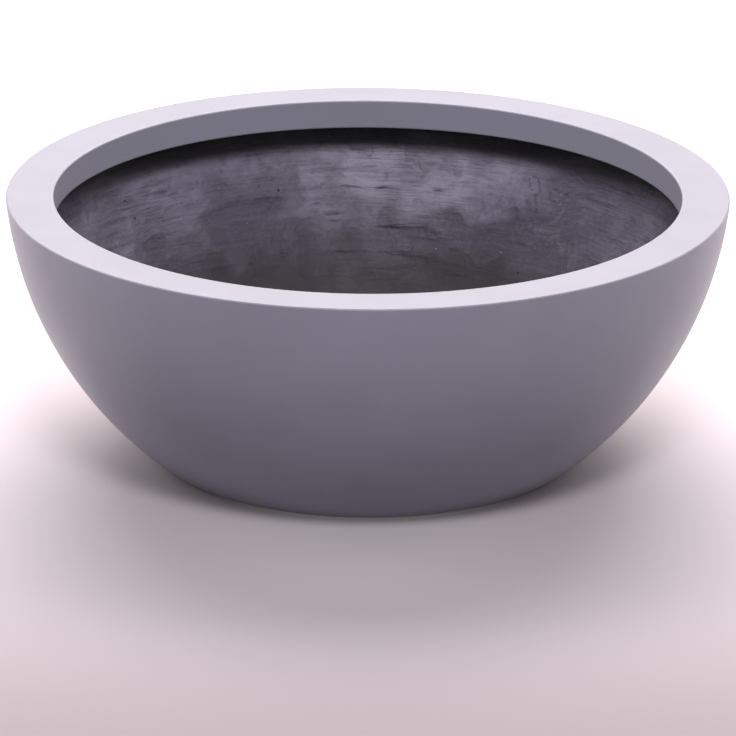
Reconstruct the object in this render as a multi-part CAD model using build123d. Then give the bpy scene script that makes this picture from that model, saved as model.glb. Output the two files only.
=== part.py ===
from build123d import *
import os
from math import acos, asin, atan2, cos, degrees, radians, sin, sqrt

# A wide, low fiberglass bowl planter. Sizes are in millimetres, +Z is up and the origin is
# on the ground at the centre of the foot. Each piece is one half section, drawn as radius
# and height and turned about the Z axis. The bowl is laid up from its painted outer face
# inwards, so every layer is placed by its depth under that face.

# Outline of the painted outer face
RIM_RADIUS = 400.0
BOWL_HEIGHT = 300.0
WALL_ARC_RADIUS = 428.0
FOOT_RADIUS = 215.0
FOOT_ROUND = 43.0

# Foot ring, and the base that is raised inside it
FOOT_RING_WIDTH = 35.0
BASE_RECESS = 8.0
RECESS_ROUND = 16.0

# Skins of the bowl
SHELL_THICKNESS = 4.0
LINING_THICKNESS = 2.5

# Rim moulding: flat top, return inside the mouth, flange bonded inside the wall
RIM_WIDTH = 53.0
RIM_THICKNESS = 5.0
RETURN_DEPTH = 33.5
FLANGE_THICKNESS = 3.5
RIM_EDGE_ROUND = 2.0
RIM_CORNER_FILLET = 6.0
FLANGE_ROOT_GAP = 3.0

# Laminate tape over the joint of flange and lining
TAPE_LAP = 14.0
TAPE_THICKNESS = 1.5

# Laminate patch round the drain hole
PATCH_RADIUS = 90.0
PATCH_THICKNESS = 2.5
PATCH_FEATHER = 8.0

# Drain hole and its rubber plug
DRAIN_RADIUS = 15.0
PLUG_CLEARANCE = 0.05
PLUG_FLANGE_RADIUS = 22.0
PLUG_FLANGE_THICKNESS = 3.5
PLUG_OVERHANG = 3.0
PLUG_WALL = 4.0
PLUG_LEAD_IN = 2.0
PLUG_NECK_RADIUS = 4.5
PLUG_NECK_HEIGHT = 4.0
PLUG_KNOB_RADIUS = 9.0
PLUG_KNOB_HEIGHT = 5.0
PLUG_EDGE_ROUND = 1.5

# Heights and depths that follow
LINING_DEPTH = SHELL_THICKNESS + LINING_THICKNESS
FLANGE_FACE_DEPTH = SHELL_THICKNESS + FLANGE_THICKNESS
SHELL_TOP = BOWL_HEIGHT - RIM_THICKNESS
FLANGE_FOOT = SHELL_TOP - RIM_CORNER_FILLET - FLANGE_ROOT_GAP - TAPE_LAP
FLOOR_TOP = BASE_RECESS + LINING_DEPTH
PLUG_SEAT = FLOOR_TOP + PATCH_THICKNESS


def wall_arc_centre():
    """Centre of the wall's arc, which ends at the rim edge and runs smoothly into the foot round."""
    foot = Vector(FOOT_RADIUS, FOOT_ROUND)
    chord = Vector(RIM_RADIUS, BOWL_HEIGHT) - foot
    to_foot = WALL_ARC_RADIUS - FOOT_ROUND
    along = (to_foot**2 - WALL_ARC_RADIUS**2 + chord.length**2) / (2 * chord.length)
    aside = sqrt(to_foot**2 - along**2)
    inward = Vector(-chord.Y, chord.X).normalized()
    return foot + chord.normalized() * along + inward * aside


WALL_CENTRE = wall_arc_centre()
FOOT_CENTRE = Vector(FOOT_RADIUS, FOOT_ROUND)
WALL_START = degrees(atan2(FOOT_CENTRE.Y - WALL_CENTRE.Y, FOOT_CENTRE.X - WALL_CENTRE.X))


def wall_angle(depth, height):
    """Angle on the wall's arc, at a depth under the outer face, of the point at a height."""
    return degrees(asin((height - WALL_CENTRE.Y) / (WALL_ARC_RADIUS - depth)))


def wall_arc(depth, low_angle, height):
    """The wall's arc at a depth, from an angle up to a height."""
    turn = wall_angle(depth, height) - low_angle
    return CenterArc(WALL_CENTRE, WALL_ARC_RADIUS - depth, low_angle, turn)


def bowl_line(depth, height):
    """The bowl's line at a depth under the outer face, from the drain hole up to a height."""
    turn = degrees(acos(1 - BASE_RECESS / (2 * RECESS_ROUND)))
    ring_inside = FOOT_RADIUS - FOOT_RING_WIDTH
    base_outside = ring_inside - 2 * RECESS_ROUND * sin(radians(turn))
    base_height = BASE_RECESS + depth
    base = Line((DRAIN_RADIUS, base_height), (base_outside, base_height))
    down = JernArc(base @ 1, base % 1, RECESS_ROUND + depth, -turn)
    level = JernArc(down @ 1, down % 1, RECESS_ROUND - depth, turn)
    ring = Line(level @ 1, (FOOT_RADIUS, depth))
    foot = CenterArc(FOOT_CENTRE, FOOT_ROUND - depth, -90, 90 + WALL_START)
    wall = wall_arc(depth, WALL_START, height)
    return [base, down, level, ring, foot, wall]


def turned(section):
    """One solid, turned about the Z axis from the edges of a closed half section."""
    return revolve(Plane.XZ * make_face(section), Axis.Z)


def bowl_skin(outer_depth, inner_depth, height):
    """The layer between two depths under the outer face, with the drain hole through it."""
    outer = bowl_line(outer_depth, height)
    inner = bowl_line(inner_depth, height)
    hole = Line(outer[0] @ 0, inner[0] @ 0)
    top = Line(outer[-1] @ 1, inner[-1] @ 1)
    return turned([*outer, *inner, hole, top])


def outer_shell():
    """Moulded shell with the painted face, from the drain hole to the seat of the rim."""
    return bowl_skin(0, SHELL_THICKNESS, SHELL_TOP)


def fibre_lining():
    """Raw hand-laid laminate inside the shell, up to the lower edge of the rim's flange."""
    return bowl_skin(SHELL_THICKNESS, LINING_DEPTH, FLANGE_FOOT)


def rounded(section, corners, radius):
    """A face with the corners at these points rounded."""
    picked = [min(section.vertices(), key=lambda v: (Vector(v) - corner).length) for corner in corners]
    return fillet(picked, radius)


def rim_ring():
    """Channel turned upside down: flange inside the wall, flat top over it, return at the mouth."""
    mouth = RIM_RADIUS - RIM_WIDTH
    return_back = mouth + RIM_THICKNESS
    return_foot = BOWL_HEIGHT - RETURN_DEPTH
    outer = wall_arc(0, wall_angle(0, SHELL_TOP), BOWL_HEIGHT)
    bond = wall_arc(SHELL_THICKNESS, wall_angle(SHELL_THICKNESS, FLANGE_FOOT), SHELL_TOP)
    back = wall_arc(FLANGE_FACE_DEPTH, wall_angle(FLANGE_FACE_DEPTH, FLANGE_FOOT), SHELL_TOP)
    hook = Polyline(
        outer @ 1,
        (mouth, BOWL_HEIGHT),
        (mouth, return_foot),
        (return_back, return_foot),
        (return_back, SHELL_TOP),
        back @ 1,
    )
    seat = Line(outer @ 0, bond @ 1)
    flange_edge = Line(bond @ 0, back @ 0)
    section = make_face([outer, hook, back, flange_edge, bond, seat])
    edges = [outer @ 1, Vector(mouth, BOWL_HEIGHT), Vector(mouth, return_foot)]
    section = rounded(section, edges, RIM_EDGE_ROUND)
    section = rounded(section, [Vector(return_back, SHELL_TOP), back @ 1], RIM_CORNER_FILLET)
    return revolve(Plane.XZ * section, Axis.Z)


def joint_tape():
    """Laminate band over the rim's flange and the lining's edge, stepped where they meet."""
    top = FLANGE_FOOT + TAPE_LAP
    bottom = FLANGE_FOOT - TAPE_LAP
    face_depth = max(LINING_DEPTH, FLANGE_FACE_DEPTH) + TAPE_THICKNESS
    on_flange = wall_arc(FLANGE_FACE_DEPTH, wall_angle(FLANGE_FACE_DEPTH, FLANGE_FOOT), top)
    on_lining = wall_arc(LINING_DEPTH, wall_angle(LINING_DEPTH, bottom), FLANGE_FOOT)
    face = wall_arc(face_depth, wall_angle(face_depth, bottom), top)
    step = Line(on_lining @ 1, on_flange @ 0)
    upper_edge = Line(on_flange @ 1, face @ 1)
    lower_edge = Line(on_lining @ 0, face @ 0)
    return turned([on_lining, step, on_flange, upper_edge, face, lower_edge])


def base_patch():
    """Laminate disc on the raised base round the drain hole, thinned to its edge."""
    outline = Polyline(
        (DRAIN_RADIUS, FLOOR_TOP),
        (PATCH_RADIUS, FLOOR_TOP),
        (PATCH_RADIUS - PATCH_FEATHER, PLUG_SEAT),
        (DRAIN_RADIUS, PLUG_SEAT),
        close=True,
    )
    return turned(outline)


def drain_plug():
    """Hollow rubber bung: shank in the hole, flange on the patch, knob to pull it out by."""
    shank = DRAIN_RADIUS - PLUG_CLEARANCE
    hollow = shank - PLUG_WALL
    tip = BASE_RECESS - PLUG_OVERHANG
    flange_top = PLUG_SEAT + PLUG_FLANGE_THICKNESS
    knob_foot = flange_top + PLUG_NECK_HEIGHT
    knob_top = knob_foot + PLUG_KNOB_HEIGHT
    outline = Polyline(
        (0, PLUG_SEAT),
        (hollow, PLUG_SEAT),
        (hollow, tip),
        (shank - PLUG_LEAD_IN, tip),
        (shank, tip + PLUG_LEAD_IN),
        (shank, PLUG_SEAT),
        (PLUG_FLANGE_RADIUS, PLUG_SEAT),
        (PLUG_FLANGE_RADIUS, flange_top),
        (PLUG_NECK_RADIUS, flange_top),
        (PLUG_NECK_RADIUS, knob_foot),
        (PLUG_KNOB_RADIUS, knob_foot),
        (PLUG_KNOB_RADIUS, knob_top),
        (0, knob_top),
        close=True,
    )
    section = make_face(outline)
    soft_edges = [
        Vector(PLUG_FLANGE_RADIUS, flange_top),
        Vector(PLUG_KNOB_RADIUS, knob_foot),
        Vector(PLUG_KNOB_RADIUS, knob_top),
    ]
    section = rounded(section, soft_edges, PLUG_EDGE_ROUND)
    return revolve(Plane.XZ * section, Axis.Z)


def main():
    os.makedirs("parts", exist_ok=True)
    for piece in (outer_shell, fibre_lining, rim_ring, joint_tape, base_patch, drain_plug):
        export_step(piece(), f"parts/{piece.__name__}.step")


main()
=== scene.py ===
from math import acos, asin, atan2, ceil, cos, pi, radians, sin, sqrt, tan

import bmesh
import bpy
import numpy as np
from bpy.props import FloatProperty, IntProperty, PointerProperty, StringProperty
from mathutils import Matrix, Vector


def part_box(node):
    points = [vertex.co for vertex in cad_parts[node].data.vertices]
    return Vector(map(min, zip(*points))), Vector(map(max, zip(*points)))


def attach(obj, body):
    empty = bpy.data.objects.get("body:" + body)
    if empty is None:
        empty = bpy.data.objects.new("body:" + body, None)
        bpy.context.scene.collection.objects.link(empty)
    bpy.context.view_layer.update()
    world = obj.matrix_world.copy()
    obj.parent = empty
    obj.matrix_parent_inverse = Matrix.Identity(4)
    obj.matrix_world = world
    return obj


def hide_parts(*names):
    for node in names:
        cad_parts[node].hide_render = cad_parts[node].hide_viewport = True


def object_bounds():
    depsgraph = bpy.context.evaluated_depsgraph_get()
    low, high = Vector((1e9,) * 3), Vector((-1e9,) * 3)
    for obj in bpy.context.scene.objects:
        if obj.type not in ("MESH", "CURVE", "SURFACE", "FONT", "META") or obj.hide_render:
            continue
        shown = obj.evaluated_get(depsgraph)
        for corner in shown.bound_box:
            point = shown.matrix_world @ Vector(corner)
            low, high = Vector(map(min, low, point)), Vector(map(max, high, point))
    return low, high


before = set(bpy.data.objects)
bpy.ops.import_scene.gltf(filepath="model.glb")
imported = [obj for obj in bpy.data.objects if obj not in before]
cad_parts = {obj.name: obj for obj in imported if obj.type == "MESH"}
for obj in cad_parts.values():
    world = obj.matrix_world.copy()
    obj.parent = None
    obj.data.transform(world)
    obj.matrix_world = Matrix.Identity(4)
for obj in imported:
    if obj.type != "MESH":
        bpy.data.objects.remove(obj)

bl_info = {
    "name": "Fiberglass Bowl Planter",
    "version": (1, 0, 0),
    "blender": (4, 5, 0),
    "location": "3D View > Sidebar > Planter",
    "description": "Lays up, paints and lights a wide fiberglass bowl planter with its drain plug",
    "category": "Object",
}

# Lengths are metres. MM turns a size given in millimetres into metres.
MM = 0.001
CAD_LOW, CAD_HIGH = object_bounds()
SHELL_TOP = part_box("outer_shell")[1].z
RIM_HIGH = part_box("rim_ring")[1]
LINING_LOW, LINING_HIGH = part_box("fibre_lining")
TAPE_LOW, TAPE_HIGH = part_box("joint_tape")
PATCH_LOW, PATCH_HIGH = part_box("base_patch")
PLUG_LOW, PLUG_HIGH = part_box("drain_plug")

# Columns round each turned piece. With more, the lining's mesh would be too large to keep whole.
SEGMENTS = 320
# Points nearer than this are one point.
TOUCHING = 1e-7
# Faces that meet at more than this keep a sharp edge between them.
SHARP_ANGLE = radians(35)


class PlanterSizes(bpy.types.PropertyGroup):
    """Real sizes of the bowl, as the frame has them"""

    rim_radius: FloatProperty(
        name="Rim radius", description="Outer edge of the flat rim, before it is eased",
        default=0.400, unit="LENGTH")
    height: FloatProperty(
        name="Height", description="Ground to the top of the rim", default=RIM_HIGH.z, unit="LENGTH")
    wall_arc: FloatProperty(
        name="Wall arc", description="Radius of the wall's one long arc, on the painted face",
        default=0.428, unit="LENGTH")
    foot_radius: FloatProperty(
        name="Foot radius", description="Where the flat foot ring ends and the round begins",
        default=0.215, unit="LENGTH")
    foot_round: FloatProperty(
        name="Foot round", description="Radius between the foot ring and the wall",
        default=0.043, unit="LENGTH")
    ring_width: FloatProperty(
        name="Foot ring width", description="Flat ring that the bowl stands on",
        default=0.035, unit="LENGTH")
    recess: FloatProperty(
        name="Base recess", description="How far the base is raised inside the foot ring",
        default=0.008, unit="LENGTH")
    recess_round: FloatProperty(
        name="Recess round", description="Radius of both bends between ring and base",
        default=0.016, unit="LENGTH")
    shell: FloatProperty(
        name="Shell thickness", description="Moulded shell with the painted face",
        default=LINING_LOW.z, unit="LENGTH")
    lining: FloatProperty(
        name="Lining thickness", description="Hand-laid laminate inside the shell",
        default=0.0025, unit="LENGTH")
    rim_width: FloatProperty(
        name="Rim width", description="Flat top, from the outer edge to the mouth",
        default=0.053, unit="LENGTH")
    rim_thickness: FloatProperty(
        name="Rim thickness", description="Laminate of the rim moulding",
        default=RIM_HIGH.z - SHELL_TOP, unit="LENGTH")
    return_depth: FloatProperty(
        name="Return depth", description="Band that returns down inside the mouth",
        default=0.0335, unit="LENGTH")
    flange: FloatProperty(
        name="Flange thickness", description="Hidden leg of the rim, bonded inside the wall",
        default=0.0035, unit="LENGTH")
    edge_round: FloatProperty(
        name="Edge round", description="Easing of the rim's edges", default=0.002, unit="LENGTH")
    corner_fillet: FloatProperty(
        name="Corner fillet", description="Radius inside the corners of the rim moulding",
        default=0.006, unit="LENGTH")
    tape: FloatProperty(
        name="Tape thickness", description="Joint tape over the rim's flange",
        default=0.0015, unit="LENGTH")
    tape_edge: FloatProperty(
        name="Tape edge", description="Easing of the tape's edges by the resin",
        default=0.0007, unit="LENGTH")
    patch_feather: FloatProperty(
        name="Patch feather", description="Slope at the edge of the base patch",
        default=0.008, unit="LENGTH")
    drain: FloatProperty(
        name="Drain radius", description="Hole through the base", default=0.015, unit="LENGTH")


class PlugSizes(bpy.types.PropertyGroup):
    """Real sizes of the rubber plug, as the frame has them"""

    clearance: FloatProperty(
        name="Clearance", description="Between the shank and the drain hole",
        default=0.00005, unit="LENGTH", precision=6)
    wall: FloatProperty(name="Wall", description="Rubber round the hollow", default=0.004, unit="LENGTH")
    lead_in: FloatProperty(
        name="Lead-in", description="Slope at the tip that finds the hole", default=0.002, unit="LENGTH")
    flange: FloatProperty(
        name="Flange", description="Thickness of the flange", default=0.0035, unit="LENGTH")
    neck: FloatProperty(
        name="Neck", description="Radius of the neck under the knob", default=0.0045, unit="LENGTH")
    knob: FloatProperty(
        name="Knob", description="Radius of the knob that pulls the plug out", default=0.009, unit="LENGTH")
    knob_height: FloatProperty(
        name="Knob height", description="Thickness of the knob", default=0.005, unit="LENGTH")
    edge_round: FloatProperty(
        name="Edge round", description="Easing of the plug's edges", default=0.0015, unit="LENGTH")


class PlanterRelief(bpy.types.PropertyGroup):
    """How far the hand work stands out of the true surfaces"""

    waviness: FloatProperty(
        name="Paint waviness", description="Sanding waves in the painted faces",
        default=0.00012, unit="LENGTH", precision=6)
    lumps: FloatProperty(
        name="Roller lumps", description="Height of the lumps that the roller leaves",
        default=0.0007, unit="LENGTH", precision=6)
    drags: FloatProperty(
        name="Brush drags", description="Height of the tallest ridge that the brush pulls up",
        default=0.0012, unit="LENGTH", precision=6)
    drag_count: IntProperty(name="Brush drag count", description="Ridges all round the wall", default=420)
    overlap: FloatProperty(
        name="Mat overlap", description="Step where one sheet of mat laps the next",
        default=0.0006, unit="LENGTH", precision=6)
    sheets: IntProperty(
        name="Mat sheets", description="Sheets of mat laid side by side round the wall", default=9)


class PlanterColours(bpy.types.PropertyGroup):
    """Finish colours, and colours of painted light and shade, as sRGB hex values"""

    paint: StringProperty(
        name="Paint", description="Satin grey paint with a violet cast", default="#aca6b3")
    paint_thin: StringProperty(
        name="Thin paint", description="Duller passes of the spray gun", default="#a7a1ae")
    # Painted highlight on the rim's return band, a paler tone of the paint.
    paint_mist: StringProperty(
        name="Paint mist", description="Paler paint where mist settled inside the mouth", default="#b4aebb")
    resin: StringProperty(
        name="Resin", description="Pigmented resin of the raw laminate", default="#8f8695")
    # Dark resin, also used as the painted shade that darkens the wall below about 215 mm.
    resin_rich: StringProperty(
        name="Rich resin", description="Where resin has pooled and dried dark", default="#554d5d")
    # Browner resin low on the wall, together with painted shade deep in the bowl.
    resin_low: StringProperty(
        name="Low resin", description="Browner resin that has run down to the base", default="#362d30")
    # Painted light: a paler pool on the wall under the rim, where light falls on it.
    overspray: StringProperty(
        name="Overspray", description="Dry mist of the rim's paint on the wall below it", default="#c6bccc")
    # Painted shadow: black on the wall just under the rim's return.
    paste: StringProperty(
        name="Paste", description="Black bonding paste pressed out under the rim", default="#0f0e11")
    strand: StringProperty(
        name="Strand", description="Glass strands that show through the resin", default="#b0a7b6")
    # Painted shade: dark in the pits, and in lines under the ridges and in the gouges.
    pit: StringProperty(name="Pit", description="Pits where air was trapped", default="#2a272d")
    speck: StringProperty(
        name="Speck", description="Dry filler dust caught in the resin", default="#dcd9df")
    rubber: StringProperty(name="Rubber", description="Black rubber of the plug", default="#2b2b2e")
    bloom: StringProperty(name="Bloom", description="Grey bloom on old rubber", default="#4a494c")
    floor: StringProperty(name="Floor", description="Pale studio paper, as it is seen", default="#c8b7ba")
    floor_bounce: StringProperty(
        name="Floor bounce", description="Greyer light that it sends up to the bowl", default="#9c99a0")
    glare: StringProperty(name="Glare", description="Over-lit paper towards the back", default="#fffbfe")


class PlanterStage(bpy.types.PropertyGroup):
    """Camera, floor and light"""

    lens: FloatProperty(
        name="Lens", description="Long lens, in millimetres on a 36 mm sensor", default=343.46)
    distance: FloatProperty(
        name="Distance", description="Camera to the centre of the rim", default=7.7625, unit="LENGTH")
    elevation: FloatProperty(
        name="Elevation", description="Height of the camera, seen from the centre of the rim",
        default=0.311512, subtype="ANGLE")
    tilt: FloatProperty(
        name="Tilt", description="Camera turned down from the centre of the rim",
        default=0.024939, subtype="ANGLE")
    pan: FloatProperty(
        name="Pan", description="Camera turned aside from the centre of the rim",
        default=-0.000159, subtype="ANGLE")
    roll: FloatProperty(
        name="Roll", description="Camera turned about its own line of sight",
        default=0.005821, subtype="ANGLE")
    sky: FloatProperty(name="Sky", description="Level of the soft light from all round", default=0.04)
    key: FloatProperty(
        name="Key light", description="Large softbox above and behind, in watts", default=96.0)
    front: FloatProperty(name="Front light", description="Softbox high in front, in watts", default=325.0)
    left: FloatProperty(name="Left light", description="Softbox on the left, in watts", default=17.0)
    right: FloatProperty(name="Right light", description="Softbox on the right, in watts", default=11.5)
    warm: StringProperty(name="Warm tone", description="Colour of the light from behind", default="#fff9f8")
    cool: StringProperty(
        name="Cool tone", description="Colour of the light from the other sides", default="#eff6ff")
    floor_size: FloatProperty(
        name="Floor size", description="Side of the paper floor", default=60.0, unit="LENGTH")


# Helpers for nodes

def linear(code):
    """Linear colour of an sRGB hex value"""
    shares = [int(code[start:start + 2], 16) / 255 for start in (1, 3, 5)]
    bright = [((share + 0.055) / 1.055) ** 2.4 if share > 0.04045 else share / 12.92 for share in shares]
    return (*bright, 1.0)


def pick(sockets, key=None):
    """The socket at that place or with that name among those in use, or the first of them"""
    if isinstance(key, int):
        return sockets[key]
    return next((socket for socket in sockets if socket.enabled and key in (None, socket.name)), None)


def feed(tree, node, links):
    """Sets or links inputs of a node"""
    for key, value in links.items():
        if isinstance(value, bpy.types.NodeSocket):
            tree.links.new(value, pick(node.inputs, key))
        else:
            pick(node.inputs, key).default_value = value


def add(tree, kind, links=None, output=None, **settings):
    """Adds a shader node, sets it and its inputs, and returns the output that is asked for"""
    node = tree.nodes.new("ShaderNode" + kind)
    for key, value in settings.items():
        setattr(node, key, value)
    feed(tree, node, links or {})
    return pick(node.outputs, output)


def new_material(name):
    """A material with its node tree and its shader"""
    material = bpy.data.materials.new(name)
    material.use_nodes = True
    tree = material.node_tree
    shader = next(node for node in tree.nodes if node.type == "BSDF_PRINCIPLED")
    return material, tree, shader


# Outlines, as points of radius and height

def run(start, end, step):
    """Points along a straight run, with one close to each end that keeps the flat's shading flat"""
    start, end = np.array(start), np.array(end)
    length = np.linalg.norm(end - start)
    hold = min(0.6 * MM, length / 4) / length
    shares = np.concatenate([[0], np.linspace(hold, 1 - hold, max(2, ceil(length / step))), [1]])
    return start + shares[:, None] * (end - start)


def arc(centre, radius, start, end, step):
    """Points along an arc from one angle to another, in radians"""
    angles = np.linspace(start, end, max(5, ceil(radius * abs(end - start) / step) + 1))
    return np.array(centre) + radius * np.c_[np.cos(angles), np.sin(angles)]


def eased(before, corner, after, radius):
    """Points of the round that eases a corner between the points on its two sides"""
    corner = np.array(corner)
    back = np.array(before) - corner
    ahead = np.array(after) - corner
    back, ahead = back / np.linalg.norm(back), ahead / np.linalg.norm(ahead)
    half = acos(back @ ahead) / 2
    middle = (back + ahead) / np.linalg.norm(back + ahead)
    centre = corner + middle * radius / sin(half)
    first = corner + back * radius / tan(half) - centre
    last = corner + ahead * radius / tan(half) - centre
    start = atan2(first[1], first[0])
    turn = (atan2(last[1], last[0]) - start + pi) % (2 * pi) - pi
    return arc(centre, radius, start, start + turn, radius / 4)


def joined(*stretches):
    """One outline of several stretches, with the points that they share kept once"""
    points = np.concatenate(stretches)
    gap = np.linalg.norm(points - np.roll(points, 1, axis=0), axis=1)
    return points[gap > TOUCHING]


class Bowl:
    """Lines of the bowl at any depth under its painted face"""

    def __init__(self, sizes):
        self.sizes = sizes
        self.foot = np.array([sizes.foot_radius, sizes.foot_round])
        chord = np.array([sizes.rim_radius, sizes.height]) - self.foot
        length = np.linalg.norm(chord)
        to_foot = sizes.wall_arc - sizes.foot_round
        along = (to_foot**2 - sizes.wall_arc**2 + length**2) / (2 * length)
        aside = sqrt(to_foot**2 - along**2)
        inward = np.array([-chord[1], chord[0]]) / length
        self.centre = self.foot + chord / length * along + inward * aside
        down = self.foot - self.centre
        self.start = atan2(down[1], down[0])

    def angle(self, depth, height):
        """Angle on the wall's arc of the point at a height"""
        return asin((height - self.centre[1]) / (self.sizes.wall_arc - depth))

    def at(self, depth, height):
        """Point of the wall at a depth and a height"""
        turn = self.angle(depth, height)
        return self.centre + (self.sizes.wall_arc - depth) * np.array([cos(turn), sin(turn)])

    def wall(self, depth, start, end, step):
        """The wall from one height to another"""
        ends = self.angle(depth, start), self.angle(depth, end)
        return arc(self.centre, self.sizes.wall_arc - depth, *ends, step)

    def line(self, depth, height, floor_step, wall_step):
        """The whole line from the drain hole up to a height"""
        sizes = self.sizes
        turn = acos(1 - sizes.recess / (2 * sizes.recess_round))
        ring = sizes.foot_radius - sizes.ring_width
        base = ring - 2 * sizes.recess_round * sin(turn)
        raised = sizes.recess + depth
        outer, inner = sizes.recess_round + depth, sizes.recess_round - depth
        return joined(
            run((sizes.drain, raised), (base, raised), floor_step),
            arc((base, sizes.recess - sizes.recess_round), outer, pi / 2, pi / 2 - turn, floor_step / 2),
            arc((ring, sizes.recess_round), inner, -pi / 2 - turn, -pi / 2, floor_step / 2),
            run((ring, depth), (sizes.foot_radius, depth), floor_step),
            arc(self.foot, sizes.foot_round - depth, -pi / 2, self.start, wall_step),
            arc(self.centre, sizes.wall_arc - depth, self.start, self.angle(depth, height), wall_step),
        )


# Helpers for meshes

def lathe(name, section, relief=None, on_axis=False):
    """Object of a half section turned about the Z axis, moved out along its normals by a relief

    The section runs counterclockwise. It is closed, unless its two ends lie on the axis."""
    count = len(section)
    along = np.roll(section, -1, axis=0) - np.roll(section, 1, axis=0)
    outward = np.c_[along[:, 1], -along[:, 0]] / np.linalg.norm(along, axis=1)[:, None]
    turns = np.arange(SEGMENTS) * 2 * pi / SEGMENTS
    spokes = np.stack([np.cos(turns), np.sin(turns), np.zeros(SEGMENTS)], axis=1)
    upright = np.array([0, 0, 1])
    points = section[:, None, :1] * spokes + section[:, None, 1:] * upright
    if relief is not None:
        normals = outward[:, None, :1] * spokes + outward[:, None, 1:] * upright
        points = points + relief(points)[:, :, None] * normals
    ring = np.arange(SEGMENTS)
    row = np.arange(count - 1 if on_axis else count)[:, None]
    here, above = row * SEGMENTS, (row + 1) % count * SEGMENTS
    after = (ring + 1) % SEGMENTS
    faces = np.stack([here + ring, here + after, above + after, above + ring], axis=2)
    mesh = bpy.data.meshes.new(name)
    mesh.from_pydata(points.reshape(-1, 3).tolist(), [], faces.reshape(-1, 4).tolist())
    if on_axis:
        poles = bmesh.new()
        poles.from_mesh(mesh)
        bmesh.ops.remove_doubles(poles, verts=poles.verts, dist=TOUCHING)
        poles.to_mesh(mesh)
        poles.free()
    mesh.shade_smooth()
    mesh.set_sharp_from_angle(angle=SHARP_ANGLE)
    mesh.update()
    made = bpy.data.objects.new(name, mesh)
    bpy.context.scene.collection.objects.link(made)
    return made


def ripples(points, count, across, upright, seed):
    """Random swells through space, mostly -1 to 1, of given wavelengths across and up"""
    dice = np.random.default_rng(seed)
    total = np.zeros(points.shape[:-1])
    for _ in range(count):
        heading = dice.uniform(0, 2 * pi)
        wavelength = dice.uniform(*across)
        climb = dice.choice([-1, 1]) / dice.uniform(*upright)
        wave = np.array([cos(heading) / wavelength, sin(heading) / wavelength, climb])
        total += np.cos(points @ (wave * 2 * pi) + dice.uniform(0, 2 * pi))
    return total / sqrt(count)


def ease(value, low, high):
    """Smooth step from 0 at low to 1 at high"""
    share = np.clip((value - low) / (high - low), 0, 1)
    return share * share * (3 - 2 * share)


def arc_apart(points, angle):
    """Distance round the bowl from each point to an upright line at an angle"""
    reach = np.hypot(points[..., 0], points[..., 1])
    turn = np.arctan2(points[..., 1], points[..., 0]) - angle
    return reach * ((turn + pi) % (2 * pi) - pi)


def stroke(points, angle, height, length, width, slope):
    """One stroke on the wall, 1 along its middle and fading to 0 at its edges and ends"""
    across = arc_apart(points, angle)
    above = points[..., 2] - height - slope * across
    return np.exp(-(2 * across / length) ** 4 - (2 * above / width) ** 2)


def finish_piece(made, make, body, node):
    """Gives a piece its place in the frame, and its material, made for the first piece that has it"""
    material = bpy.data.materials.get(make.__name__) or make(bpy.context.scene.planter_colours)
    made.data.materials.append(material)
    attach(made, body)
    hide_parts(node)


# Materials

# How far out from the axis the patches of the lining lie that differ in colour.
WALL_REACH = 0.36
# Each patch is given by degrees round from +X, and by height, length and width in millimetres.
# Where the painted pool of light lies on the wall.
LIT_PATCH = (83, 210, 330, 112)
RUBBED = (57, 178, 170, 90)
# Darker patches of the wall, in the same form.
DARK_PATCHES = [
    (59.5, 157, 46, 18),
    (113, 160, 150, 50),
    (112, 190, 140, 60),
    (48, 197, 190, 120),
    (66, 158, 130, 50),
    (122, 179, 18, 8),
    (109, 177, 14, 14),
]
# Painted shade: dark lines, most just under the ridges and in the gouges of MARKS, in the same form.
RIDGE_SHADES = [
    (84.0, 147.5, 66, 4.5),
    (76.6, 143.5, 16, 7),
    (73.1, 128.6, 22, 8),
    (87.6, 188.4, 22, 5),
    (93.5, 189.0, 44, 3),
    (77.2, 190.5, 19, 4),
    (82.5, 121.8, 24, 4),
    (95.0, 121.5, 40, 3.5),
    (96.5, 163.0, 26, 3),
    (96.3, 156.0, 14, 4),
    (52.0, 203.3, 8, 8),
    (99.5, 175.0, 12, 4),
]


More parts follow.
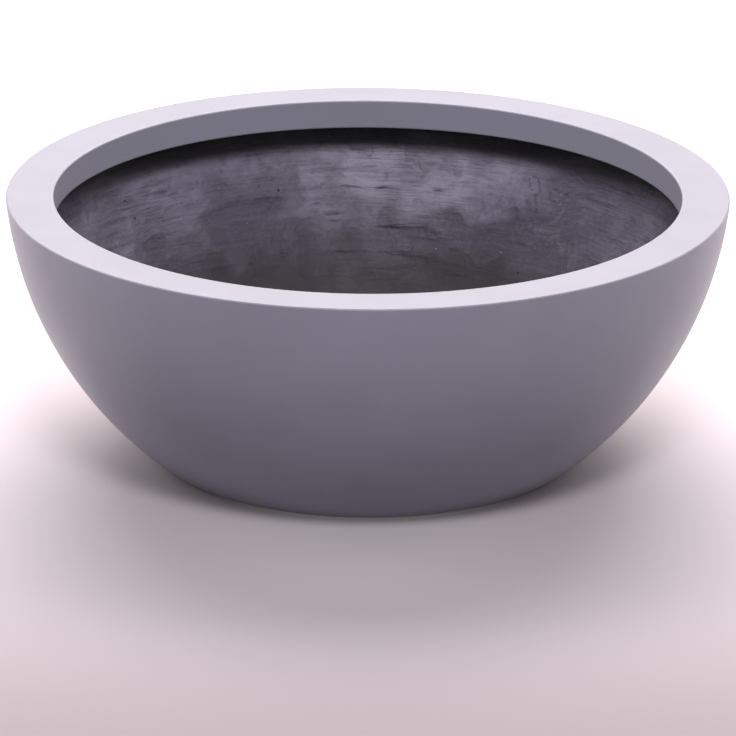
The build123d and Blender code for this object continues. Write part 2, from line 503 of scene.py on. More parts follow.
def satin_paint(colours):
    """Moulded GRP sprayed with satin paint: an even grey with a soft sheen at low angles, and a painted
    highlight on the rim's return
    """
    material, tree, shader = new_material("satin_paint")
    place = add(tree, "TexCoord", output="Object")
    # Passes of the spray gun overlap every 90 mm or so and leave faint clouds.
    clouds = add(tree, "TexNoise", {"Vector": place, "Scale": 1 / (90 * MM), "Detail": 3.0})
    share = add(tree, "MapRange", {"Value": clouds, "From Min": 0.35, "From Max": 0.65})
    tint = add(tree, "Mix", {"Factor": share, "A": linear(colours.paint),
                             "B": linear(colours.paint_thin)}, data_type="RGBA")
    # Painted highlight: the rim's return inside the mouth is painted paler, for the light that falls on the
    # band.
    sizes = bpy.context.scene.planter_sizes
    mouth = sizes.rim_radius - sizes.rim_width
    under_return = RIM_HIGH.z - sizes.return_depth - 10 * MM
    level = add(tree, "VectorMath", {0: place, 1: (1, 1, 0)}, operation="MULTIPLY")
    reach = add(tree, "VectorMath", {0: level}, output="Value", operation="LENGTH")
    inside = add(tree, "MapRange", {"Value": reach, "From Min": mouth + 3 * MM, "From Max": mouth + 1 * MM})
    height = add(tree, "SeparateXYZ", {"Vector": place}, output="Z")
    on_rim = add(tree, "Math", {0: height, 1: under_return}, operation="GREATER_THAN")
    return_lit = add(tree, "Math", {0: inside, 1: on_rim}, operation="MULTIPLY")
    tint = add(tree, "Mix", {"Factor": return_lit, "A": tint, "B": linear(colours.paint_mist)},
               data_type="RGBA")
    # Real orange peel is 1 to 2 mm across. It is drawn at 5 mm, because finer dimples don't show.
    peel = add(tree, "TexNoise", {"Vector": place, "Scale": 1 / (5 * MM), "Detail": 2.0})
    bump = add(tree, "Bump", {"Height": peel, "Distance": 0.03 * MM, "Strength": 0.5})
    sheen = add(tree, "MapRange", {"Value": clouds, "To Min": 0.34, "To Max": 0.42})
    feed(tree, shader, {"Base Color": tint, "Roughness": sheen, "Normal": bump, "IOR": 1.5})
    return material


def slants(tree, place, cell, length, width, spacing, seed):
    """Straight strokes on the bowl's faces, a bundle in each cell at a slant of its own"""
    around = add(tree, "VectorMath", {0: (0, 0, 1), 1: place}, operation="CROSS_PRODUCT")
    around = add(tree, "VectorMath", {0: around}, operation="NORMALIZE")
    normal = add(tree, "NewGeometry", output="Normal")
    uphill = add(tree, "VectorMath", {0: normal, 1: around}, operation="CROSS_PRODUCT")
    moved = add(tree, "VectorMath", {0: place, 1: (seed, seed, seed)})
    dice = add(tree, "TexVoronoi", {"Vector": moved, "Scale": 1 / cell}, output="Color")
    centre = dice.node.outputs["Position"]
    apart = add(tree, "VectorMath", {0: moved, 1: centre}, operation="SUBTRACT")
    aside = add(tree, "VectorMath", {0: apart, 1: around}, output="Value", operation="DOT_PRODUCT")
    above = add(tree, "VectorMath", {0: apart, 1: uphill}, output="Value", operation="DOT_PRODUCT")
    flat = add(tree, "CombineXYZ", {"X": aside, "Y": above})
    red = add(tree, "SeparateColor", {"Color": dice}, output="Red")
    green = red.node.outputs["Green"]
    angle = add(tree, "Math", {0: red, 1: pi}, operation="MULTIPLY")
    turned = add(tree, "VectorRotate", {"Vector": flat, "Angle": angle}, rotation_type="Z_AXIS")
    along = add(tree, "SeparateXYZ", {"Vector": turned}, output="X")
    across = along.node.outputs["Y"]
    reach = add(tree, "Math", {0: along}, operation="ABSOLUTE")
    ends = add(tree, "MapRange", {"Value": reach, "From Min": length / 2, "From Max": length / 3})
    off = add(tree, "Math", {0: across, 1: spacing / 2}, operation="PINGPONG")
    sides = add(tree, "MapRange", {"Value": off, "From Min": width / 2, "From Max": width / 5})
    strength = add(tree, "MapRange", {"Value": green, "From Min": 0.3, "From Max": 0.9})
    body = add(tree, "Math", {0: ends, 1: sides}, operation="MULTIPLY")
    return add(tree, "Math", {0: body, 1: strength}, operation="MULTIPLY")


def dots(tree, place, cell, radius, seed):
    """Round dots, at most one in each cell: 1 at a dot's middle and 0 off it"""
    moved = add(tree, "VectorMath", {0: place, 1: (seed, seed, seed)})
    apart = add(tree, "TexVoronoi", {"Vector": moved, "Scale": 1 / cell})
    return add(tree, "MapRange", {"Value": apart, "From Min": radius / cell,
                                  "From Max": 0.5 * radius / cell})


def blot(tree, place, degrees, height, length, width):
    """How far out from the middle of an oval patch of the wall a point lies, 1 at the oval's edge"""
    turned = add(tree, "VectorRotate", {"Vector": place, "Angle": -radians(degrees)},
                 rotation_type="Z_AXIS")
    apart = add(tree, "VectorMath", {0: turned, 1: (WALL_REACH, 0, height * MM)}, operation="SUBTRACT")
    # In and out, the oval reaches as far as the axis, so that the wall's own curve never cuts it.
    half = (1 / WALL_REACH, 2 / (length * MM), 2 / (width * MM))
    share = add(tree, "VectorMath", {0: apart, 1: half}, operation="MULTIPLY")
    return add(tree, "VectorMath", {0: share}, output="Value", operation="LENGTH")


def swing(tree, pattern, mask):
    """A noise pattern turned into one that swings from -1 to 1, and held back by a mask"""
    full = add(tree, "MapRange", {"Value": pattern, "From Min": 0.3, "From Max": 0.7, "To Min": -1.0})
    return add(tree, "Math", {0: full, 1: mask}, operation="MULTIPLY")


def hand_laid_laminate(colours):
    """Hand-laid GRP left raw: dull pigmented resin with brush drags, glass strands and pits, and painted
    light and shade
    """
    material, tree, shader = new_material("hand_laid_laminate")
    place = add(tree, "TexCoord", output="Object")
    height = add(tree, "SeparateXYZ", {"Vector": place}, output="Z")
    # Edges of patches wander by 20 mm or so, and those of the painted shade under the ridges by 3 mm.
    wander = add(tree, "TexNoise", {"Vector": place, "Scale": 1 / (38 * MM), "Detail": 3.0}, output="Color")
    wander = add(tree, "VectorMath", {0: wander, 1: (0.5, 0.5, 0.5)}, operation="SUBTRACT")
    ragged = add(tree, "VectorMath", {0: wander, 1: (0.09, 0.09, 0.09), 2: place}, operation="MULTIPLY_ADD")
    ragged_height = add(tree, "SeparateXYZ", {"Vector": ragged}, output="Z")
    frayed = add(tree, "VectorMath", {0: wander, 1: (0.016, 0.016, 0.016), 2: place},
                 operation="MULTIPLY_ADD")

    # The brush drags wet resin round the wall: fine lines 45 mm long and under 3 mm high where it
    # was dry, and broader bands 90 mm long and 10 mm high.
    drawn = add(tree, "Mapping", {"Vector": place, "Scale": (1, 1, 15)})
    lines = add(tree, "TexNoise", {"Vector": drawn, "Scale": 1 / (45 * MM), "Detail": 3.0,
                                   "Roughness": 0.55})
    dry = add(tree, "TexNoise", {"Vector": ragged, "Scale": 1 / (80 * MM), "Detail": 2.0})
    dry = add(tree, "MapRange", {"Value": dry, "From Min": 0.44, "From Max": 0.64, "To Min": 0.12})
    # The resin that ran down has levelled itself, so the hand work fades out in it.
    raw = add(tree, "MapRange", {"Value": height, "From Min": 0.06, "From Max": 0.16, "To Min": 0.2})
    # A glove has rubbed the drying resin in curls about 32 mm across, over the brush's lines.
    rubbed = add(tree, "MapRange", {"Value": blot(tree, ragged, *RUBBED), "From Min": 1.2, "From Max": 0.6})
    brushed = add(tree, "MapRange", {"Value": rubbed, "To Min": 1.0, "To Max": 0.15})
    dry = add(tree, "Math", {0: dry, 1: brushed}, operation="MULTIPLY")
    lines = swing(tree, lines, dry)
    curls = add(tree, "TexNoise", {"Vector": ragged, "Scale": 1 / (32 * MM), "Detail": 2.0,
                                   "Distortion": 1.8})
    curls = swing(tree, curls, rubbed)
    drawn = add(tree, "Mapping", {"Vector": place, "Scale": (1, 1, 8)})
    bands = add(tree, "TexNoise", {"Vector": drawn, "Scale": 1 / (90 * MM), "Detail": 5.0,
                                   "Roughness": 0.6, "Distortion": 0.35})
    # Resin gathers in pools 70 mm across, and is thinner between them.
    pools = add(tree, "TexNoise", {"Vector": place, "Scale": 1 / (70 * MM), "Detail": 5.0,
                                   "Roughness": 0.55, "Distortion": 0.4})
    # The roller leaves soft mottling, 26 mm across and stretched a little round the wall.
    rolled_out = add(tree, "Mapping", {"Vector": ragged, "Scale": (1, 1, 1.8)})
    mottle = add(tree, "TexNoise", {"Vector": rolled_out, "Scale": 1 / (26 * MM), "Detail": 3.0})
    # Mat strands are 25 to 50 mm long and about 1 mm wide. They are drawn 2 mm wide, to show.
    strands = 0.0
    for seed, cell in enumerate((38 * MM, 46 * MM, 54 * MM)):
        layer = slants(tree, place, cell, 42 * MM, 2.2 * MM, 9 * MM, seed + 1)
        strands = add(tree, "Math", {0: strands, 1: layer}, operation="MAXIMUM")
    strands = add(tree, "Math", {0: strands, 1: raw}, operation="MULTIPLY")
    pits = dots(tree, place, 40 * MM, 1.8 * MM, 11)
    specks = dots(tree, place, 24 * MM, 0.9 * MM, 13)

    # Each finish over the one before: where it lies, from where it starts to where it is full, the
    # most of it, and its colour.
    layers = [
        # Painted light: a pale pool on the wall under the rim, near 83 degrees round.
        (blot(tree, ragged, *LIT_PATCH), 1.3, 0.3, 0.85, colours.overspray),
        (pools, 0.40, 0.66, 0.50, colours.resin_rich),
        # Darker towards the bottom: painted shade deep in the bowl, with darker resin.
        (ragged_height, 0.215, 0.125, 0.60, colours.resin_rich),
        (bands, 0.52, 0.68, 0.20, colours.strand),
        (bands, 0.48, 0.32, 0.32, colours.resin_rich),
        (mottle, 0.53, 0.70, 0.22, colours.strand),
        (mottle, 0.47, 0.30, 0.40, colours.resin_rich),
        (lines, 0.10, 0.90, 0.28, colours.strand),
        (lines, -0.10, -0.90, 0.42, colours.resin_rich),
        (curls, 0.10, 0.80, 0.38, colours.strand),
        (curls, -0.10, -0.80, 0.60, colours.resin_rich),
        *((blot(tree, ragged, *dark_patch), 1.3, 0.4, 0.55, colours.resin_rich) for dark_patch in DARK_PATCHES),
        # Browner and darker towards the bottom: browner resin, and painted shade deep in the bowl.
        (ragged_height, 0.180, 0.096, 0.94, colours.resin_low),
        (strands, 0.0, 1.0, 0.05, colours.strand),
        # Painted shade under the ridges and in the gouges.
        *((blot(tree, frayed, *ridge_shade), 1.2, 0.1, 0.65, colours.pit) for ridge_shade in RIDGE_SHADES),
        # Painted shadow under the rim's return: black above 244 mm, fading out by 222 mm.
        (height, 0.222, 0.244, 0.97, colours.paste),
        # Painted shade in the pits.
        (pits, 0.0, 1.0, 0.9, colours.pit),
        (specks, 0.0, 1.0, 0.55, colours.speck),
    ]
    tint = linear(colours.resin)
    for where, low, high, most, colour in layers:
        share = add(tree, "MapRange", {"Value": where, "From Min": low, "From Max": high,
                                       "To Max": most}, interpolation_type="SMOOTHSTEP")
        tint = add(tree, "Mix", {"Factor": share, "A": tint, "B": linear(colour)}, data_type="RGBA")
    # The brush, the roller and the glass leave their own fine relief, this tall in millimetres.
    below = {}
    for work, tall in ((lines, 0.25), (bands, 1.5), (mottle, 2.0), (strands, 0.08)):
        bump = add(tree, "Bump", {"Height": work, "Distance": tall * MM, "Strength": raw, **below})
        below = {"Normal": bump}
    holes = add(tree, "Bump", {"Height": pits, "Distance": 0.8 * MM, **below}, invert=True)
    gloss = add(tree, "MapRange", {"Value": pools, "From Min": 0.4, "From Max": 0.7,
                                   "To Min": 0.62, "To Max": 0.45})
    feed(tree, shader, {"Base Color": tint, "Roughness": gloss, "Normal": holes, "IOR": 1.55,
                        "Specular IOR Level": 0.3})
    return material


def moulded_rubber(colours):
    """Black rubber pressed in a blasted mould: dull and faintly grained, with a grey bloom"""
    material, tree, shader = new_material("moulded_rubber")
    place = add(tree, "TexCoord", output="Object")
    bloom = add(tree, "TexNoise", {"Vector": place, "Scale": 1 / (9 * MM), "Detail": 4.0})
    share = add(tree, "MapRange", {"Value": bloom, "From Min": 0.4, "From Max": 0.7})
    tint = add(tree, "Mix", {"Factor": share, "A": linear(colours.rubber),
                             "B": linear(colours.bloom)}, data_type="RGBA")
    # The grain of a blasted mould, 0.4 mm.
    grain = add(tree, "TexNoise", {"Vector": place, "Scale": 1 / (0.4 * MM), "Detail": 1.0})
    bump = add(tree, "Bump", {"Height": grain, "Distance": 0.05 * MM})
    dull = add(tree, "MapRange", {"Value": bloom, "To Min": 0.52, "To Max": 0.68})
    feed(tree, shader, {"Base Color": tint, "Roughness": dull, "Normal": bump, "IOR": 1.52})
    return material


def studio_paper(colours):
    """Uncoated studio paper, over-lit towards the back, so that it ends in plain white"""
    material, tree, shader = new_material("studio_paper")
    place = add(tree, "TexCoord", output="Object")
    # Pulp clouds in the paper, 12 mm across.
    pulp = add(tree, "TexNoise", {"Vector": place, "Scale": 1 / (12 * MM), "Detail": 2.0})
    bump = add(tree, "Bump", {"Height": pulp, "Distance": 0.05 * MM})
    # Glare grows towards the back.
    back = add(tree, "SeparateXYZ", {"Vector": place}, output="Y")
    behind = add(tree, "MapRange", {"Value": back, "From Min": -0.99, "From Max": 0.17,
                                    "To Max": 0.61}, interpolation_type="SMOOTHSTEP")
    # It fades out in an oval under the bowl, where the shadow lies, a little narrower than deep.
    narrow = add(tree, "VectorMath", {0: place, 1: (1.24, 1, 1)}, operation="MULTIPLY")
    shaded = add(tree, "VectorMath", {0: narrow, 1: (0, -0.12, 0)}, output="Value", operation="DISTANCE")
    open_air = add(tree, "MapRange", {"Value": shaded, "From Min": 0.2, "From Max": 0.72},
                   interpolation_type="SMOOTHSTEP")
    glow = add(tree, "Math", {0: behind, 1: open_air}, operation="MULTIPLY")
    # Painted light: the paper glows faintly just in front of the bowl's foot, over its shadow there.
    near = add(tree, "VectorMath", {0: place, 1: (0, -0.28, 0)}, output="Value", operation="DISTANCE")
    lit_before_foot = add(tree, "MapRange", {"Value": near, "From Min": 0.31, "From Max": 0.03,
                                      "To Max": 0.107}, interpolation_type="SMOOTHSTEP")
    # Further out, the paper turns to plain white.
    reach = add(tree, "VectorMath", {0: place}, output="Value", operation="LENGTH")
    far = add(tree, "MapRange", {"Value": reach, "From Min": 0.9, "From Max": 2.2},
              interpolation_type="SMOOTHSTEP")
    for more in (lit_before_foot, far):
        glow = add(tree, "Math", {0: glow, 1: more}, operation="ADD")
    seen = seen_ray(tree)
    glow = add(tree, "Math", {0: glow, 1: seen}, operation="MULTIPLY")
    tint = add(tree, "Mix", {"Factor": seen, "A": linear(colours.floor_bounce),
                             "B": linear(colours.floor)}, data_type="RGBA")
    feed(tree, shader, {"Base Color": tint, "Roughness": 0.9, "Specular IOR Level": 0.1, "Normal": bump,
                        "Emission Color": linear(colours.glare), "Emission Strength": glow})
    return material


def seen_ray(tree):
    """1 for rays that show a background, straight or in a gloss, and 0 for rays that light the object"""
    straight = add(tree, "LightPath", output="Is Camera Ray")
    outputs = straight.node.outputs
    glossy = add(tree, "Math", {0: straight, 1: outputs["Is Glossy Ray"]}, operation="MAXIMUM")
    return add(tree, "Math", {0: glossy, 1: outputs["Is Transmission Ray"]}, operation="MAXIMUM")


# Hand work on the faces

def sanding(relief):
    """Shallow sanding waves of the painted faces, none at the rim's joint, where the two pieces meet"""
    def waves(points):
        swell = np.clip(ripples(points, 24, (0.09, 0.22), (0.07, 0.20), seed=2), -1, 1)
        free = ease(abs(points[..., 2] - SHELL_TOP), 0.5 * MM, 9 * MM)
        free *= ease(points[..., 2], 1 * MM, 20 * MM)
        return -relief.waviness * (1 + swell) / 2 * free
    return waves


def mat_overlaps(points, relief):
    """1 where one sheet of mat laps the next, with ragged edges"""
    first, lap, torn = radians(81.6), 34 * MM, 5 * MM
    ragged = torn * ripples(points, 12, (0.04, 0.1), (0.02, 0.06), seed=6)
    total = np.zeros(points.shape[:-1])
    for sheet in range(relief.sheets):
        apart = abs(arc_apart(points, first + sheet * 2 * pi / relief.sheets) + ragged)
        total += 1 - ease(apart, lap / 2 - torn, lap / 2 + torn)
    return total


def brush_drags(points, relief):
    """Ridges pulled up by the brush, long and nearly level, at random over the wall"""
    dice = np.random.default_rng(8)
    total = np.zeros(points.shape[:-1])
    for _ in range(relief.drag_count):
        angle, height = dice.uniform(0, 2 * pi), dice.uniform(40, 245) * MM
        length, width = dice.uniform(14, 75) * MM, dice.uniform(3.2, 6.0) * MM
        near = abs(points[:, 0, 2] - height) < 30 * MM
        slope, share = dice.normal(0, 0.06), dice.uniform(0.15, 1.0) ** 2
        total[near] += share * stroke(points[near], angle, height, length, width, slope)
    return total


# The marks on the wall that stand out most: degrees round from +X, height, length, width (mm),
# slope, and height of the ridge or depth of the gouge (mm).
MARKS = [
    (84.0, 150.2, 62, 5.0, 0.00, 2.0),
    (77.2, 147.0, 20, 5.5, 0.55, 1.8),
    (73.1, 128.6, 17, 6.0, -0.45, -1.8),
    (91.2, 191.0, 74, 4.4, 0.00, 1.4),
    (77.2, 192.8, 16, 4.5, 0.05, 1.4),
    (83.5, 124.2, 30, 4.5, 0.00, 1.6),
    (92.0, 123.8, 60, 4.5, 0.02, 1.1),
    (96.5, 165.2, 28, 4.2, 0.00, 1.2),
    (52.0, 203.3, 6, 6.0, 0.00, -1.6),
]


def hand_laid(relief, face):
    """Relief of the lining: lumps, overlaps and brush drags, none under the tape, the patch or the shell"""
    def work(points):
        height = points[..., 2]
        reach = np.hypot(points[..., 0], points[..., 1])
        lumps = 1 + ripples(points, 40, (0.05, 0.13), (0.022, 0.06), seed=3)
        where = ease(ripples(points, 16, (0.08, 0.25), (0.04, 0.12), seed=5), -0.4, 0.8)
        fine = where * ripples(points, 60, (0.03, 0.09), (0.006, 0.012), seed=4)
        total = relief.lumps * (0.5 * lumps + 0.22 * fine)
        total += relief.overlap * mat_overlaps(points, relief) + relief.drags * brush_drags(points, relief)
        for angle, level, length, width, slope, tall in MARKS:
            mark = stroke(points, radians(angle), level * MM, length * MM, width * MM, slope)
            total += tall * MM * mark
        open_wall = 1 - ease(height, TAPE_LOW.z - 10 * MM, TAPE_LOW.z - 1 * MM)
        open_floor = ease(reach, PATCH_HIGH.x + 1 * MM, PATCH_HIGH.x + 12 * MM)
        total = np.maximum(total, 0) * open_wall * open_floor
        total[:face] = 0
        return total
    return work


def rolled(relief, face, low, high):
    """Relief of a strip or patch of mat: roller lumps on its face, from one reach to another"""
    def work(points):
        reach = np.hypot(points[..., 0], points[..., 1])
        lumps = 0.5 + 0.5 * np.clip(ripples(points, 40, (0.02, 0.07), (0.01, 0.03), seed=9), -1, 1)
        inside = ease(reach, low, low + 6 * MM) * (1 - ease(reach, high - 4 * MM, high))
        total = 0.5 * relief.lumps * lumps * inside
        total[:face] = 0
        return total
    return work


# Operators, one for each piece and one for the stage

class PLANTER_OT_outer_shell(bpy.types.Operator):
    """Moulds the painted shell, from the drain hole to the seat of the rim"""
    bl_idname = "planter.outer_shell"
    bl_label = "Painted shell"

    def execute(self, context):
        scene = context.scene
        bowl = Bowl(scene.planter_sizes)
        outer = bowl.line(0, SHELL_TOP, floor_step=6 * MM, wall_step=5 * MM)
        inner = bowl.line(scene.planter_sizes.shell, SHELL_TOP, floor_step=20 * MM, wall_step=20 * MM)
        made = lathe("painted_shell", joined(outer, inner[::-1]), sanding(scene.planter_relief))
        finish_piece(made, satin_paint, "bowl", "outer_shell")
        return {"FINISHED"}


class PLANTER_OT_fibre_lining(bpy.types.Operator):
    """Lays the raw laminate inside the shell, with its lumps, overlaps and brush drags"""
    bl_idname = "planter.fibre_lining"
    bl_label = "Raw lining"

    def execute(self, context):
        scene = context.scene
        sizes = scene.planter_sizes
        bowl = Bowl(sizes)
        face = sizes.shell + sizes.lining
        outer = bowl.line(sizes.shell, LINING_HIGH.z, floor_step=30 * MM, wall_step=30 * MM)
        inner = bowl.line(face, LINING_HIGH.z, floor_step=5 * MM, wall_step=1.7 * MM)
        relief = hand_laid(scene.planter_relief, len(outer))
        made = lathe("laminate_lining", joined(outer, inner[::-1]), relief)
        finish_piece(made, hand_laid_laminate, "bowl", "fibre_lining")
        return {"FINISHED"}


class PLANTER_OT_rim_ring(bpy.types.Operator):
    """Moulds the rim: flat top, return inside the mouth and flange inside the wall"""
    bl_idname = "planter.rim_ring"
    bl_label = "Painted rim"

    def execute(self, context):
        scene = context.scene
        sizes = scene.planter_sizes
        bowl = Bowl(sizes)
        top, foot, soft = sizes.height, RIM_HIGH.z - sizes.return_depth, sizes.edge_round
        mouth = sizes.rim_radius - sizes.rim_width
        back = mouth + sizes.rim_thickness
        depth = sizes.shell + sizes.flange
        root = bowl.at(depth, SHELL_TOP)
        edge = eased(bowl.at(0, SHELL_TOP), (sizes.rim_radius, top), (mouth, top), soft)
        lip = eased((sizes.rim_radius, top), (mouth, top), (mouth, foot), soft)
        heel = eased((mouth, top), (mouth, foot), (back, foot), soft)
        channel = eased((back, foot), (back, SHELL_TOP), root, sizes.corner_fillet)
        corner = eased((back, SHELL_TOP), root, bowl.at(depth, SHELL_TOP - sizes.corner_fillet),
                       sizes.corner_fillet)
        section = joined(
            bowl.wall(0, SHELL_TOP, edge[0][1], 1 * MM),
            edge,
            run(edge[-1], lip[0], 6 * MM),
            lip,
            run(lip[-1], heel[0], 6 * MM),
            heel,
            run(heel[-1], (back, foot), 2 * MM),
            run((back, foot), channel[0], 6 * MM),
            channel,
            run(channel[-1], corner[0], 6 * MM),
            corner,
            bowl.wall(depth, corner[-1][1], LINING_HIGH.z, 4 * MM),
            bowl.wall(sizes.shell, LINING_HIGH.z, SHELL_TOP, 4 * MM),
        )
        made = lathe("painted_rim", section, sanding(scene.planter_relief))
        finish_piece(made, satin_paint, "bowl", "rim_ring")
        return {"FINISHED"}


class PLANTER_OT_joint_tape(bpy.types.Operator):
    """Lays the band of mat over the rim's flange and the lining's edge"""
    bl_idname = "planter.joint_tape"
    bl_label = "Joint tape"

    def execute(self, context):
        scene = context.scene
        sizes = scene.planter_sizes
        bowl = Bowl(sizes)
        low, high, joint = TAPE_LOW.z, TAPE_HIGH.z, LINING_HIGH.z
        lining, flange = sizes.shell + sizes.lining, sizes.shell + sizes.flange
        face = flange + sizes.tape
        upper = eased(bowl.at(flange, high), bowl.at(face, high), bowl.at(face, joint), sizes.tape_edge)
        lower = eased(bowl.at(face, joint), bowl.at(face, low), bowl.at(lining, low), sizes.tape_edge)
        bonded = joined(bowl.wall(lining, low, joint, 5 * MM), bowl.wall(flange, joint, high, 5 * MM))
        front = joined(upper, bowl.wall(face, upper[-1][1], lower[0][1], 2 * MM), lower)
        low_reach, high_reach = bowl.at(face, low)[0], bowl.at(face, high)[0]
        relief = rolled(scene.planter_relief, len(bonded), low_reach, high_reach)
        made = lathe("joint_mat", joined(bonded, front), relief)
        finish_piece(made, hand_laid_laminate, "bowl", "joint_tape")
        return {"FINISHED"}


class PLANTER_OT_base_patch(bpy.types.Operator):
    """Lays the patch of mat that stiffens the base round the drain hole"""
    bl_idname = "planter.base_patch"
    bl_label = "Base patch"

    def execute(self, context):
        scene = context.scene
        sizes = scene.planter_sizes
        reach, low, high = PATCH_HIGH.x, PATCH_LOW.z, PATCH_HIGH.z
        under = run((sizes.drain, low), (reach, low), 12 * MM)
        slope = run((reach, low), (reach - sizes.patch_feather, high), 1.5 * MM)
        top = run((reach - sizes.patch_feather, high), (sizes.drain, high), 2.5 * MM)
        relief = rolled(scene.planter_relief, len(under), PLUG_HIGH.x + 1 * MM, reach)
        made = lathe("base_mat", joined(under, slope, top), relief)
        finish_piece(made, hand_laid_laminate, "bowl", "base_patch")
        return {"FINISHED"}


class PLANTER_OT_drain_plug(bpy.types.Operator):
    """Moulds the rubber plug: hollow shank, flange on the patch and a knob to pull it by"""
    bl_idname = "planter.drain_plug"
    bl_label = "Drain plug"

    def execute(self, context):
        scene = context.scene
        sizes = scene.plug_sizes
        shank = scene.planter_sizes.drain - sizes.clearance
        hollow = shank - sizes.wall
        tip, seat, crown = PLUG_LOW.z, PATCH_HIGH.z, PLUG_HIGH.z
        flange_top, knob_foot = seat + sizes.flange, crown - sizes.knob_height
        reach, soft = PLUG_HIGH.x, sizes.edge_round
        corners = [
            ((hollow, seat), 0.6 * MM),
            ((hollow, tip), 0.5 * MM),
            ((shank - sizes.lead_in, tip), 0.5 * MM),
            ((shank, tip + sizes.lead_in), 0.5 * MM),
            ((shank, seat), 0.3 * MM),
            ((reach, seat), 0.4 * MM),
            ((reach, flange_top), soft),
            ((sizes.neck, flange_top), 0.8 * MM),
            ((sizes.neck, knob_foot), 0.8 * MM),
            ((sizes.knob, knob_foot), soft),
            ((sizes.knob, crown), soft),
        ]
        places = [(0, seat), *[corner for corner, _ in corners], (0, crown)]
        rounds = [eased(*places[turn:turn + 3], radius) for turn, (_, radius) in enumerate(corners)]
        stretches = [np.array([places[0]])]
        for corner in rounds:
            stretches += [run(stretches[-1][-1], corner[0], 2 * MM), corner]
        stretches.append(run(stretches[-1][-1], places[-1], 2 * MM))
        made = lathe("rubber_plug", joined(*stretches), on_axis=True)
        finish_piece(made, moulded_rubber, "plug", "drain_plug")
        return {"FINISHED"}


class PLANTER_OT_stage(bpy.types.Operator):
    """Sets the paper floor, the four softboxes, the soft surroundings and the camera"""
    bl_idname = "planter.stage"
    bl_label = "Stage"

    def execute(self, context):
        scene = context.scene
        stage = scene.planter_stage
        lay_paper(stage, scene.planter_colours)
        for name, place, size, tone in SOFTBOXES:
            hang_softbox(f"{name}_softbox", place, size, getattr(stage, name), getattr(stage, tone))
        light_surroundings(stage)
        place_camera(stage)
        scene.view_settings.view_transform = "Standard"
        return {"FINISHED"}


def lay_paper(stage, colours):
    """The paper floor, finely divided near the bowl"""
    half, count = stage.floor_size / 2, 80
    steps = np.linspace(-1, 1, count + 1)
    lines = half * np.sign(steps) * abs(steps) ** 3
    corners = [(x, y, 0.0) for y in lines for x in lines]
    wide = count + 1
    faces = [(row * wide + col, row * wide + col + 1, (row + 1) * wide + col + 1, (row + 1) * wide + col)
             for row in range(count) for col in range(count)]
    mesh = bpy.data.meshes.new("studio_floor")
    mesh.from_pydata(corners, [], faces)
    floor = bpy.data.objects.new("studio_floor", mesh)
    floor.data.materials.append(studio_paper(colours))
    bpy.context.scene.collection.objects.link(floor)


# Each softbox, with its place, its width and height in metres, and its tone.
SOFTBOXES = [
    ("key", (0, 1.55, 2.2), (3.2, 2.2), "warm"),
    ("front", (0.38, -5.54, 6.09), (2.2, 1.8), "cool"),
    ("left", (-2.3, 0.3, 1.6), (1.2, 1.2), "cool"),
    ("right", (2.3, 0.3, 1.6), (1.2, 1.2), "cool"),
]


def hang_softbox(name, place, size, power, tone):
    """A rectangular softbox aimed at the middle of the bowl, which lights it but isn't seen"""
    light = bpy.data.lights.new(name, "AREA")
    light.shape = "RECTANGLE"
    light.size, light.size_y = size
    light.energy = power
    light.color = linear(tone)[:3]
    lamp = bpy.data.objects.new(name, light)
    lamp.location = place
    middle = Vector((0, 0, CAD_HIGH[2] / 2))
    lamp.rotation_euler = (middle - Vector(place)).to_track_quat("-Z", "Y").to_euler()
    lamp.visible_camera = False
    bpy.context.scene.collection.objects.link(lamp)


def light_surroundings(stage):
    """Soft light from all round, seen as plain white"""
    world = bpy.data.worlds.new("studio")
    world.use_nodes = True
    tree = world.node_tree
    background = next(node for node in tree.nodes if node.type == "BACKGROUND")
    level = add(tree, "MapRange", {"Value": seen_ray(tree), "To Min": stage.sky})
    feed(tree, background, {"Color": linear("#ffffff"), "Strength": level})
    bpy.context.scene.world = world


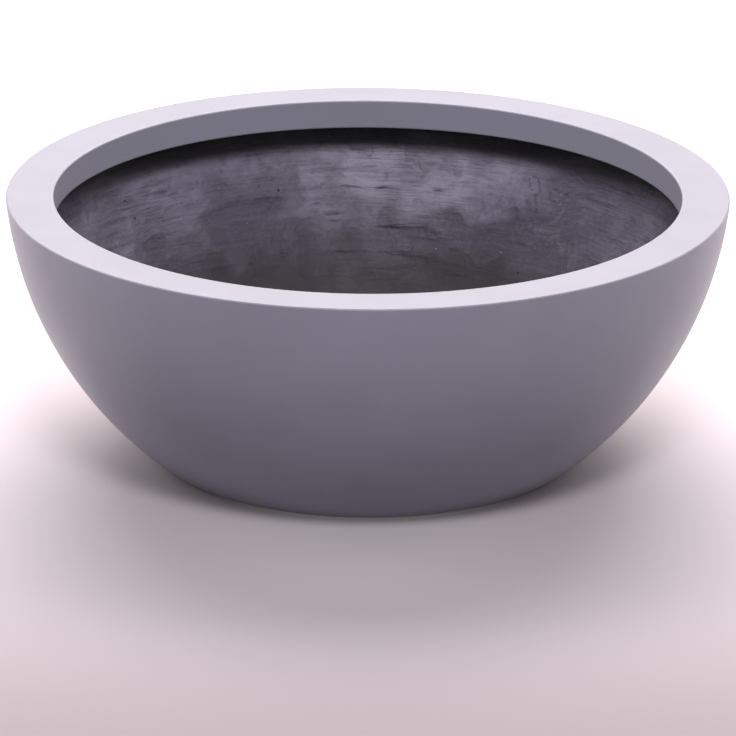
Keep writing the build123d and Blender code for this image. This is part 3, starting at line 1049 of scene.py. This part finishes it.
def place_camera(stage):
    """A long lens in front of the bowl, looking down into it"""
    rise, reach = sin(stage.elevation), cos(stage.elevation)
    level = Matrix(((1, 0, 0), (0, rise, reach), (0, reach, -rise)))
    turned = (Matrix.Rotation(-stage.roll, 3, "Z") @ Matrix.Rotation(-stage.tilt, 3, "X")
              @ Matrix.Rotation(stage.pan, 3, "Y") @ level)
    right, up, forward = turned
    camera = bpy.data.objects.new("camera", bpy.data.cameras.new("camera"))
    camera.data.lens = stage.lens
    camera.data.sensor_width = 36.0
    axes = Matrix((right, up, -forward)).transposed().to_4x4()
    rim_centre = Vector((0, 0, RIM_HIGH.z))
    camera.matrix_world = Matrix.Translation(rim_centre + stage.distance * Vector((0, -reach, rise))) @ axes
    bpy.context.scene.collection.objects.link(camera)
    bpy.context.scene.camera = camera


GROUPS = {
    "planter_sizes": PlanterSizes,
    "plug_sizes": PlugSizes,
    "planter_relief": PlanterRelief,
    "planter_colours": PlanterColours,
    "planter_stage": PlanterStage,
}
OPERATORS = [
    PLANTER_OT_outer_shell,
    PLANTER_OT_fibre_lining,
    PLANTER_OT_rim_ring,
    PLANTER_OT_joint_tape,
    PLANTER_OT_base_patch,
    PLANTER_OT_drain_plug,
    PLANTER_OT_stage,
]


class PLANTER_PT_pieces(bpy.types.Panel):
    """Lists the pieces to make, and the sizes and colours that they take"""
    bl_idname = "PLANTER_PT_pieces"
    bl_label = "Fiberglass Bowl Planter"
    bl_space_type = "VIEW_3D"
    bl_region_type = "UI"
    bl_category = "Planter"

    def draw(self, context):
        for operator in OPERATORS:
            self.layout.operator(operator.bl_idname)
        for name, group in GROUPS.items():
            box = self.layout.box()
            for setting in group.__annotations__:
                box.prop(getattr(context.scene, name), setting)


def register():
    for name, group in GROUPS.items():
        bpy.utils.register_class(group)
        setattr(bpy.types.Scene, name, PointerProperty(type=group))
    for kind in (*OPERATORS, PLANTER_PT_pieces):
        bpy.utils.register_class(kind)


def unregister():
    for kind in (*OPERATORS, PLANTER_PT_pieces):
        bpy.utils.unregister_class(kind)
    for name, group in GROUPS.items():
        delattr(bpy.types.Scene, name)
        bpy.utils.unregister_class(group)


def main():
    register()
    for operator in OPERATORS:
        group, name = operator.bl_idname.split(".")
        getattr(getattr(bpy.ops, group), name)()


if __name__ == "__main__":
    main()
